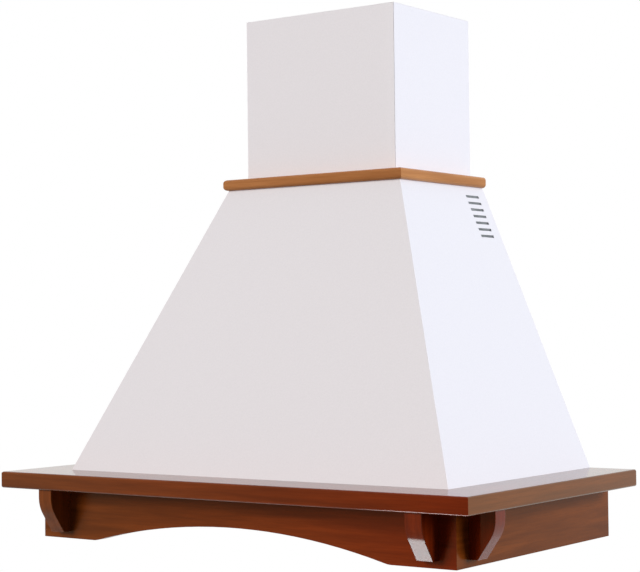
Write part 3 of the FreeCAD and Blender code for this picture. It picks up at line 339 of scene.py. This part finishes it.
def zinc_plate():
    # Zinc-plated steel: bright with a slight blue tint and a fine drawn surface
    return mottled("Zinc-plated steel", linear("#A9AFB5"), linear("#C9CED2"), [1.5 * MM] * 3,
                   roughness=(0.22, 0.36), relief=0.01 * MM, metallic=1)


def pressed_steel():
    # Pressed steel cup: plain, slightly cloudy sheet
    return mottled("Pressed steel", linear("#9A9C9E"), linear("#B9BBBC"), [8 * MM] * 3,
                   roughness=(0.3, 0.45), relief=0.01 * MM, metallic=1)


def etched_glass():
    # Acid-etched glass: milky, as half the light is scattered back by its fine grain and half passes
    return mottled("Etched glass", linear("#EEF1F1"), linear("#F8FAFA"), [0.9 * MM] * 3,
                   roughness=(0.35, 0.5), relief=0.01 * MM, transmission_weight=0.5)


def clear_glass():
    # Halogen bulb: thin clear quartz with slight waves
    return mottled("Quartz glass", linear("#F4F5F2"), linear("#FCFCFA"), [9 * MM] * 3,
                   roughness=(0.02, 0.06), relief=0.01 * MM, transmission_weight=1)


def moulded_black():
    # Moulded ABS: deep black with a fine spark-eroded grain, drawn a little coarse
    return mottled("Black ABS", linear("#141415"), linear("#1E1E20"), [0.8 * MM] * 3,
                   roughness=(0.42, 0.58), relief=0.02 * MM)


def moulded_ivory():
    # Moulded ABS buttons: smooth ivory with a soft gloss
    return mottled("Ivory ABS", linear("#DDD9CF"), linear("#E6E2D9"), [3 * MM] * 3,
                   roughness=(0.24, 0.34), relief=0.005 * MM)


def moulded_grey():
    # Moulded polypropylene boxes: pale grey, waxy and matt
    return mottled("Grey polypropylene", linear("#CFCFCB"), linear("#DBDBD7"), [2 * MM] * 3,
                   roughness=(0.45, 0.6), relief=0.01 * MM)


def motor_paint():
    # Painted motor: dark lacquer over a stack of steel laminations, drawn coarser than real
    stack = along(X_AXIS, 1.2 * MM, 90 * MM)
    return mottled("Lacquered laminations", linear("#202224"), linear("#33363A"), stack,
                   roughness=(0.35, 0.5), relief=0.12 * MM)


def soft_rubber():
    # Moulded rubber: matt black that swallows light
    return mottled("Moulded rubber", linear("#101010"), linear("#1C1C1C"), [1.2 * MM] * 3,
                   roughness=(0.7, 0.9), relief=0.03 * MM)


def printed_ink():
    # Screen-printed ink: flat dark grey with small unevenness
    return mottled("Printed ink", linear("#2A2A2C"), linear("#3A3A3C"), [0.7 * MM] * 3,
                   roughness=(0.5, 0.65), relief=0.005 * MM)


# Helpers for pieces
def dress(names, material):
    """Gives CAD nodes a material."""
    for name in names:
        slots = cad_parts[name].data.materials
        slots.clear()
        slots.append(material)


def ease_edges(names, width):
    """Rounds the sharp edges of CAD nodes by modifiers."""
    for name in names:
        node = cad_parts[name]
        weld = node.modifiers.new("Joined faces", "WELD")
        weld.merge_threshold = WELD_REACH
        bevel = node.modifiers.new("Eased edges", "BEVEL")
        bevel.width = width
        bevel.segments = BEVEL_STEPS
        bevel.limit_method = "ANGLE"
        bevel.angle_limit = SHARP_ANGLE
        bevel.use_clamp_overlap = True
        node.modifiers.new("Even shading", "WEIGHTED_NORMAL").keep_sharp = True


def piece(name, shape, material, body, slot, *nodes):
    """Links a built mesh as a piece that stands for CAD nodes."""
    mesh = bpy.data.meshes.new(name)
    bmesh.ops.recalc_face_normals(shape, faces=shape.faces)
    shape.to_mesh(mesh)
    shape.free()
    mesh.materials.append(material)
    made = bpy.data.objects.new(name, mesh)
    bpy.context.scene.collection.objects.link(made)
    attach(made, body)
    if nodes:
        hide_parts(*nodes)
    return made


def foil_layer(shape, low, high, z, cell):
    """Adds one layer of diamonds with half diamonds along its edges."""
    counts = [2 * max(1, round((high[axis] - low[axis]) / cell[axis])) for axis in range(2)]
    corners = {}

    def corner(i, j):
        if (i, j) not in corners:
            x = low.x + (high.x - low.x) * i / counts[0]
            y = low.y + (high.y - low.y) * j / counts[1]
            corners[i, j] = shape.verts.new((x, y, z))
        return corners[i, j]

    for i in range(counts[0] + 1):
        for j in range(counts[1] + 1):
            if (i + j) % 2 == 0:
                continue
            around = [(i - 1, j), (i, j - 1), (i + 1, j), (i, j + 1)]
            kept = [(a, b) for a, b in around if 0 <= a <= counts[0] and 0 <= b <= counts[1]]
            shape.faces.new([corner(a, b) for a, b in kept])


def filter_screen(node, fine):
    """Layers of expanded foil, each turned a quarter from the one below."""
    low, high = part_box(node)
    shape = bmesh.new()
    inset = fine.screen_strand / 2
    pitch = (high.z - low.z - fine.screen_strand) / max(1, fine.screen_layers - 1)
    edge = Vector((inset, inset, 0))
    for layer in range(fine.screen_layers):
        cell = (fine.screen_cell, fine.screen_cell / 2)
        if layer % 2:
            cell = (cell[1], cell[0])
        foil_layer(shape, low + edge, high - edge, low.z + inset + layer * pitch, cell)
    return shape


def strands(screen, width):
    """Turns the edges of a flat screen into strands."""
    wires = screen.modifiers.new("Strands", "WIREFRAME")
    wires.thickness = width
    wires.use_boundary = True
    wires.use_even_offset = False


def vent_screen(sheet, sign):
    """Expanded metal just inside the vent slots of one cheek."""
    low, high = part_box("canopy_right")
    lean = math.atan2(high.x - sheet.cheek_top, high.z - low.z)
    out = Vector((math.cos(lean), 0, math.sin(lean)))
    up = Vector((-math.sin(lean), 0, math.cos(lean)))
    reach = high.x - (sheet.vent_middle - low.z) * math.tan(lean)
    face = Vector((reach, -sheet.vent_setback, sheet.vent_middle))
    corner = Vector((sheet.vent_width, sheet.vent_height, 0)) / 2
    shape = bmesh.new()
    foil_layer(shape, -corner, corner, 0, (sheet.vent_cell, sheet.vent_cell / 2))
    for vertex in shape.verts:
        spot = face - out * sheet.vent_depth + Vector((0, vertex.co.x, 0)) + up * vertex.co.y
        vertex.co = (sign * spot.x, spot.y, spot.z)
    return shape


def screw_spots(node):
    """Lowest and highest corner of each screw in a CAD node, whose screws stand well apart."""
    groups = []
    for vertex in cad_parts[node].data.vertices:
        for group in groups:
            if (group[0].xy - vertex.co.xy).length < SCREW_REACH:
                group.append(vertex.co)
                break
        else:
            groups.append([vertex.co])
    spots = []
    for group in groups:
        low = Vector([min(point[axis] for point in group) for axis in range(3)])
        high = Vector([max(point[axis] for point in group) for axis in range(3)])
        spots.append((low, high))
    return spots


def skin(shape, loops):
    """Joins loops of equal counts into a closed surface with a face at each end."""
    for inner, outer in zip(loops, loops[1:]):
        for sector in range(len(inner)):
            after = (sector + 1) % len(inner)
            shape.faces.new((inner[sector], inner[after], outer[after], outer[sector]))
    shape.faces.new(loops[0])
    shape.faces.new(loops[-1])


def pan_head(shape, low, high, upward, recess):
    """Adds a pan head screw with a cross recess, in the box of the CAD screw."""
    radius = (high.x - low.x) / 2
    head_height = 2.2 * MM
    shank_radius = 1.7 * MM
    crown, crown_power = 0.45, 4
    rings, sectors = 14, 48
    arm_half, arm_reach, arm_rise = 0.13 * radius, 0.58 * radius, 0.6
    sign = 1 if upward else -1
    centre = (low + high) / 2
    top = high.z if upward else low.z
    seat = top - sign * head_height

    def level(share, angle):
        across = abs(share * radius * math.cos(angle))
        beside = abs(share * radius * math.sin(angle))
        height = head_height * (1 - crown * share ** crown_power)
        if min(across, beside) < arm_half and max(across, beside) < arm_reach:
            height = min(height, head_height - recess * (1 - arm_rise * max(across, beside) / arm_reach))
        return seat + sign * height

    def ring(share, z_of):
        circle = []
        for sector in range(sectors):
            angle = 2 * math.pi * sector / sectors
            spot = (centre.x + share * radius * math.cos(angle), centre.y + share * radius * math.sin(angle))
            circle.append(shape.verts.new((*spot, z_of(share, angle))))
        return circle

    loops = [ring((index + 1) / rings, level) for index in range(rings)]
    loops.append(ring(1, lambda share, angle: seat))
    loops.append(ring(shank_radius / radius, lambda share, angle: seat))
    loops.append(ring(shank_radius / radius, lambda share, angle: low.z if upward else high.z))
    skin(shape, loops)


def lathe(shape, centre, profile, sectors):
    """Adds a solid of revolution about the upright axis through a centre, from pairs of radius and height."""
    loops = []
    for radius, z in profile:
        turn = [2 * math.pi * sector / sectors for sector in range(sectors)]
        spots = [(centre.x + radius * math.cos(a), centre.y + radius * math.sin(a), z) for a in turn]
        loops.append([shape.verts.new(spot) for spot in spots])
    skin(shape, loops)


def lamp_glass(node, fine):
    """Disc with rings pressed in its lower face."""
    low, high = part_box(node)
    radius = (high.x - low.x) / 2
    count = int(radius // fine.lens_ring)
    pitch = radius / count
    core = 0.04 * radius
    valley, crest = 0.15, 0.5
    profile = [(core, high.z), (radius, high.z), (radius, low.z + fine.lens_relief)]
    for index in range(count, 0, -1):
        profile.append(((index - valley) * pitch, low.z + fine.lens_relief))
        profile.append(((index - crest) * pitch, low.z))
    profile.append((core, low.z + fine.lens_relief / 2))
    shape = bmesh.new()
    lathe(shape, (low + high) / 2, profile, GLASS_SECTORS)
    return shape


def printed_number(name, words, node, body, fine, ink):
    """Number on the lower face of a button, upright for someone who stands in front and looks up."""
    low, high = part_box(node)
    letters = bpy.data.curves.new(name, "FONT")
    letters.body = words
    letters.size = fine.mark_height * FONT_TO_DIGIT
    letters.align_x = "CENTER"
    letters.align_y = "CENTER"
    letters.extrude = fine.mark_ink / 2
    letters.materials.append(ink)
    made = bpy.data.objects.new(name, letters)
    made.rotation_euler = (math.pi, 0, 0)
    made.location = ((low.x + high.x) / 2, (low.y + high.y) / 2, low.z - fine.mark_ink / 2)
    bpy.context.scene.collection.objects.link(made)
    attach(made, body)


def printed_lamp(name, node, body, fine, ink):
    """Round dot with rays on the lower face of a button."""
    low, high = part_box(node)
    centre = (low + high) / 2
    rays = 8
    dot, ray_start, ray_end, ray_half = (share * fine.mark_height for share in (0.18, 0.28, 0.48, 0.035))
    hub = 0.1 * dot
    top, bottom = low.z, low.z - fine.mark_ink
    shape = bmesh.new()
    lathe(shape, centre, [(hub, top), (dot, top), (dot, bottom), (hub, bottom)], DOT_SECTORS)
    for ray in range(rays):
        turn = Matrix.Rotation(2 * math.pi * ray / rays, 4, "Z")
        size = Matrix.Diagonal((ray_end - ray_start, 2 * ray_half, fine.mark_ink, 1))
        place = Matrix.Translation(((ray_start + ray_end) / 2, 0, 0))
        spot = Matrix.Translation((centre.x, centre.y, (top + bottom) / 2))
        bmesh.ops.create_cube(shape, size=1, matrix=spot @ turn @ place @ size)
    piece(name, shape, ink, body, "button_plastic")


# Operators
class HOOD_OT_woodwork(Operator):
    """Stain and varnish the shelf, apron, corbels and collar"""
    bl_idname = "hood.woodwork"
    bl_label = "Woodwork"

    def execute(self, context):
        wood = context.scene.hood_wood
        brown = (wood.brown_dark, wood.brown_light)
        red = (wood.red_dark, wood.red_light)
        russet_painted_sheen = (wood.russet_dark, wood.russet_light)
        pale = (wood.collar_dark, wood.collar_light)
        returns = (wood.return_dark, wood.return_light)
        polished, lacquered = (*POLISHED, wood.amber), (*LACQUERED, wood.straw)
        satin, oiled, waxed = (*SATIN, wood.honey), (*WAXED, wood.straw), (*WAXED, wood.clear)
        front_corbels = ["corbel_front_" + side for side in SIDES]
        side_corbels = ["corbel_side_" + side for side in SIDES]
        boards = (
            ("Walnut apron front", ("apron_front",), (brown, red), X_AXIS, satin),
            ("Walnut shelf front", ("shelf_front",), (brown, red), X_AXIS, polished),
            # Painted light: the right side boards get a browner tone than the front's red, which paints in
            # part of the sheen on the lit right side
            ("Walnut shelf sides", ("shelf_left", "shelf_right"), (brown, russet_painted_sheen), Y_AXIS, lacquered),
            ("Walnut apron sides", ("apron_left", "apron_right"), (brown, russet_painted_sheen), Y_AXIS, oiled),
            ("Walnut front corbels", front_corbels, (brown, red), Z_AXIS, waxed),
            ("Walnut side corbels", side_corbels, (brown, red), Z_AXIS, polished),
            ("Alder front strip", ("collar_front",), (pale, pale), X_AXIS, satin),
            # Painted light: the side strips take the lighter pair, which paints in the light falling on the
            # collar's right side
            ("Alder side strips", ("collar_left", "collar_right"), (returns, returns), Y_AXIS, satin),
        )
        for name, nodes, tones, axis, gloss in boards:
            dress(nodes, stained_wood(name, tones, axis, wood, gloss))
        ease_edges(front_corbels + side_corbels, wood.corbel_ease)
        mitred = [f"{board}_{end}" for board in ("shelf", "apron", "collar") for end in ("front", *SIDES)]
        ease_edges(mitred, wood.mitre_ease)
        return {"FINISHED"}


class HOOD_OT_enamel(Operator):
    """Powder-coat the canopy, chimney cover and tray"""
    bl_idname = "hood.enamel"
    bl_label = "Powder coat"

    def execute(self, context):
        sheet = context.scene.hood_sheet
        dress(["canopy_front", "canopy_left", "canopy_right", "base_tray"],
              powder_coat("Powder-coated steel", sheet.enamel_shade, sheet.enamel, sheet))
        # Painted light: the chimney gets the lighter coat, in place of the light that the lamps give the
        # sloped canopy
        dress(["chimney_cover"],
              powder_coat("Powder-coated chimney", sheet.chimney_shade, sheet.chimney, sheet))
        ease_edges(["chimney_cover"], sheet.fold)
        return {"FINISHED"}


class HOOD_OT_zinc_sheet(Operator):
    """Galvanise the hidden sheet and the screens behind the vent slots"""
    bl_idname = "hood.zinc_sheet"
    bl_label = "Zinc sheet"

    def execute(self, context):
        sheet = context.scene.hood_sheet
        names = ["back_panel", "top_deck", "chimney_bracket", "scroll_left", "scroll_right", "outlet_spigot",
                 "motor_bracket"]
        zinc = galvanised(sheet)
        dress(names, zinc)
        for side, sign in zip(SIDES, (-1, 1)):
            made = piece("vent_screen_" + side, vent_screen(sheet, sign), zinc, "hood", "galvanised_steel")
            strands(made, sheet.vent_strand)
        return {"FINISHED"}


class HOOD_OT_filters(Operator):
    """Grease filters with layered foil, their frames and catches"""
    bl_idname = "hood.filters"
    bl_label = "Filters"

    def execute(self, context):
        fine = context.scene.hood_fine
        foil = rolled_aluminium("Aluminium foil", Y_AXIS)
        frames = ["filter_frame_" + side for side in SIDES]
        latches = ["filter_latch_" + side for side in SIDES]
        dress(frames, rolled_aluminium("Rolled aluminium", X_AXIS))
        dress(latches, moulded_black())
        ease_edges(frames + latches, fine.moulded_ease)
        for side in SIDES:
            node = "filter_mesh_" + side
            shape = filter_screen(node, fine)
            made = piece("filter_screen_" + side, shape, foil, "filter_" + side, "aluminium", node)
            strands(made, fine.screen_strand)
        return {"FINISHED"}


class HOOD_OT_lamps(Operator):
    """Lamps: chrome bezels, ringed glass, cups and bulbs"""
    bl_idname = "hood.lamps"
    bl_label = "Lamps"

    def execute(self, context):
        fine = context.scene.hood_fine
        glass = etched_glass()
        bezels = ["lamp_bezel_" + side for side in SIDES]
        dress(bezels, bright_chrome())
        ease_edges(bezels, fine.moulded_ease)
        dress(["lamp_holder_" + side for side in SIDES], pressed_steel())
        dress(["lamp_bulb_" + side for side in SIDES], clear_glass())
        for side in SIDES:
            node = "lamp_lens_" + side
            piece("lamp_glass_" + side, lamp_glass(node, fine), glass, "hood", "frosted_glass", node)
        return {"FINISHED"}


class HOOD_OT_controls(Operator):
    """Push buttons with printed marks, their fascia and the switch behind"""
    bl_idname = "hood.controls"
    bl_label = "Controls"

    def execute(self, context):
        fine = context.scene.hood_fine
        ink = printed_ink()
        buttons = ["button_" + name for name in BUTTONS]
        dress(["control_fascia", "switch_box"], moulded_black())
        ease_edges(["control_fascia"], fine.moulded_ease)
        for number, name in enumerate(BUTTONS[:-1]):
            node = "button_" + name
            printed_number("mark_" + name, str(number), node, node, fine, ink)
        printed_lamp("mark_light", "button_light", "button_light", fine, ink)
        dress(buttons, moulded_ivory())
        ease_edges(buttons, fine.moulded_ease)
        return {"FINISHED"}


class HOOD_OT_blower(Operator):
    """Fan, motor, draught flaps and the electrical boxes"""
    bl_idname = "hood.blower"
    bl_label = "Blower"

    def execute(self, context):
        fine = context.scene.hood_fine
        dress(["impeller", "cable_gland"], moulded_black())
        dress(["motor_shaft"], zinc_plate())
        dress(["motor"], motor_paint())
        dress(["motor_grommets"], soft_rubber())
        dress(["flap_front", "flap_rear", "motor_capacitor"], rolled_aluminium("Rolled aluminium", X_AXIS))
        dress(["junction_box", "junction_cover", "terminal_block"], moulded_grey())
        ease_edges(["junction_cover", "motor", "motor_capacitor", "cable_gland"], fine.moulded_ease)
        return {"FINISHED"}


class HOOD_OT_screws(Operator):
    """Pan head screws with cross recesses"""
    bl_idname = "hood.screws"
    bl_label = "Screws"

    def execute(self, context):
        fine = context.scene.hood_fine
        plate = zinc_plate()
        for node, upward in (("tray_screws", False), ("canopy_screws", True), ("deck_screws", True)):
            shape = bmesh.new()
            for low, high in screw_spots(node):
                pan_head(shape, low, high, upward, fine.screw_recess)
            piece("cross_" + node, shape, plate, "hood", "bright_steel", node)
        return {"FINISHED"}


def aimed(position, target):
    """Matrix of a lamp at a position that shines at a target."""
    turn = (Vector(target) - Vector(position)).to_track_quat("-Z", "Y")
    return Matrix.Translation(position) @ turn.to_matrix().to_4x4()


def toward(azimuth, elevation):
    """Direction from the hood, turned to the right of its front and raised."""
    level = math.cos(elevation)
    return Vector((math.sin(azimuth) * level, -math.cos(azimuth) * level, math.sin(elevation)))


def lamp(kind, name, strength, colour, place):
    """Links a lamp of one kind, and returns its object and its light."""
    light = bpy.data.lights.new(name, kind)
    light.energy = strength
    light.color = colour[:3]
    made = bpy.data.objects.new(name, light)
    made.matrix_world = place
    bpy.context.scene.collection.objects.link(made)
    return made, light


def far_lamp(name, direction, spread, strength, colour):
    """Large lamp so far off that it lights the hood evenly; its mirror image is kept off the enamel."""
    made, light = lamp("SUN", name, strength, colour, aimed(direction, (0, 0, 0)))
    light.angle = spread
    made.visible_glossy = False


def low_softbox(studio):
    """Small softbox below the arch, whose reflection shows in the right front corbel's slanted face."""
    place = aimed(studio.low_place, studio.low_target)
    made, light = lamp("AREA", "Low", studio.low_power, studio.low_colour, place)
    light.shape = "RECTANGLE"
    light.size, light.size_y = studio.low_width, studio.low_height
    light.spread = studio.low_spread
    made.visible_camera = False


def seen_rays(tree):
    """1 for rays that show the studio: from the camera, off gloss and through glass."""
    path = add(tree, "LightPath", {}).outputs
    seen = path["Is Camera Ray"]
    for kind in ("Is Glossy Ray", "Is Transmission Ray"):
        seen = add(tree, "Math", {0: seen, 1: path[kind]}, operation="MAXIMUM").outputs[0]
    return seen


def studio_world(studio):
    """White to the camera and in gloss and glass; lit by a white cove behind and a dimmer room in front."""
    world = bpy.data.worlds.new("Studio")
    world.use_nodes = True
    tree = world.node_tree
    direction = add(tree, "TexCoord", {}).outputs["Generated"]
    behind = toward(studio.azimuth + math.pi, 0)
    cove = {"From Min": -0.3, "From Max": 0.7, "To Min": studio.room_level, "To Max": studio.cove_level}
    depth = add(tree, "VectorMath", {0: direction, 1: behind}, operation="DOT_PRODUCT").outputs["Value"]
    glow = add(tree, "MapRange", {"Value": depth, **cove}, interpolation_type="SMOOTHSTEP").outputs["Result"]
    strength = add(tree, "Mix", {0: seen_rays(tree), 2: glow, 3: 1}, data_type="FLOAT").outputs[0]
    wire(tree, tree.nodes["Background"], {"Color": (1, 1, 1, 1), "Strength": strength})
    bpy.context.scene.world = world


def studio_floor(studio):
    """Pale floor, as far below as a kitchen's, and clear from underneath so that the filters can be seen."""
    material, tree, shader = blank("Studio floor")
    tones = {0: seen_rays(tree), 6: studio.floor_shade, 7: studio.floor}
    tint = add(tree, "Mix", tones, data_type="RGBA").outputs[2]
    wire(tree, shader, {"Base Color": tint, "Roughness": 0.8})
    under = add(tree, "NewGeometry", {}).outputs["Backfacing"]
    clear = add(tree, "BsdfTransparent", {}).outputs["BSDF"]
    sheet = add(tree, "MixShader", {0: under, 1: shader.outputs["BSDF"], 2: clear}).outputs["Shader"]
    wire(tree, tree.nodes["Material Output"], {"Surface": sheet})
    half = studio.floor_half
    level = CAD_BOX[0].z - studio.floor_drop
    corners = [(-half, -half, level), (half, -half, level), (half, half, level), (-half, half, level)]
    mesh = bpy.data.meshes.new("studio_floor")
    mesh.from_pydata(corners, [], [(0, 1, 2, 3)])
    mesh.materials.append(material)
    floor = bpy.data.objects.new("studio_floor", mesh)
    bpy.context.scene.collection.objects.link(floor)


def studio_camera(studio):
    """Camera on a sphere round its aim, turned by its roll."""
    back = toward(studio.azimuth, studio.elevation)
    lens = bpy.data.cameras.new("Camera")
    lens.lens = studio.lens
    lens.sensor_fit = "HORIZONTAL"
    camera = bpy.data.objects.new("Camera", lens)
    place = Matrix.Translation(Vector(studio.aim) + back * studio.distance)
    turn = (-back).to_track_quat("-Z", "Y").to_matrix().to_4x4()
    camera.matrix_world = place @ turn @ Matrix.Rotation(studio.roll, 4, "Z")
    bpy.context.scene.collection.objects.link(camera)
    bpy.context.scene.camera = camera


class HOOD_OT_stage(Operator):
    """Studio: floor, white surround, two far lamps, a small softbox and the camera"""
    bl_idname = "hood.stage"
    bl_label = "Stage"

    def execute(self, context):
        studio = context.scene.hood_studio
        studio_floor(studio)
        studio_world(studio)
        key_side = toward(studio.key_azimuth, studio.key_elevation)
        fill_side = toward(studio.fill_azimuth, studio.fill_elevation)
        far_lamp("Key", key_side, studio.lamp_spread, studio.key_strength, studio.key_colour)
        far_lamp("Fill", fill_side, studio.lamp_spread, studio.fill_strength, studio.fill_colour)
        low_softbox(studio)
        studio_camera(studio)
        context.scene.view_settings.view_transform = "Standard"
        return {"FINISHED"}


OPERATORS = (HOOD_OT_woodwork, HOOD_OT_enamel, HOOD_OT_zinc_sheet, HOOD_OT_filters, HOOD_OT_lamps,
             HOOD_OT_controls, HOOD_OT_blower, HOOD_OT_screws, HOOD_OT_stage)
GROUPS = {"hood_wood": HoodWood, "hood_sheet": HoodSheet, "hood_fine": HoodFine, "hood_studio": HoodStudio}


class HOOD_PT_looks(Panel):
    """Settings and steps of the range hood"""
    bl_label = "Range hood"
    bl_idname = "HOOD_PT_looks"
    bl_space_type = "VIEW_3D"
    bl_region_type = "UI"
    bl_category = "Range hood"

    def draw(self, context):
        for group in GROUPS:
            settings = getattr(context.scene, group)
            box = self.layout.box()
            for name in settings.__annotations__:
                box.prop(settings, name)
        for operator in OPERATORS:
            self.layout.operator(operator.bl_idname)


CLASSES = (*GROUPS.values(), *OPERATORS, HOOD_PT_looks)


def register():
    """Registers the classes and hangs the settings on the scene."""
    for item in CLASSES:
        bpy.utils.register_class(item)
    for name, group in GROUPS.items():
        setattr(bpy.types.Scene, name, PointerProperty(type=group))


def unregister():
    """Takes the settings and the classes away again."""
    for name in GROUPS:
        delattr(bpy.types.Scene, name)
    for item in reversed(CLASSES):
        bpy.utils.unregister_class(item)


def main():
    """Dresses the hood and sets up the studio."""
    register()
    bpy.ops.hood.woodwork()
    bpy.ops.hood.enamel()
    bpy.ops.hood.zinc_sheet()
    bpy.ops.hood.filters()
    bpy.ops.hood.lamps()
    bpy.ops.hood.controls()
    bpy.ops.hood.blower()
    bpy.ops.hood.screws()
    bpy.ops.hood.stage()


if __name__ == "__main__":
    main()
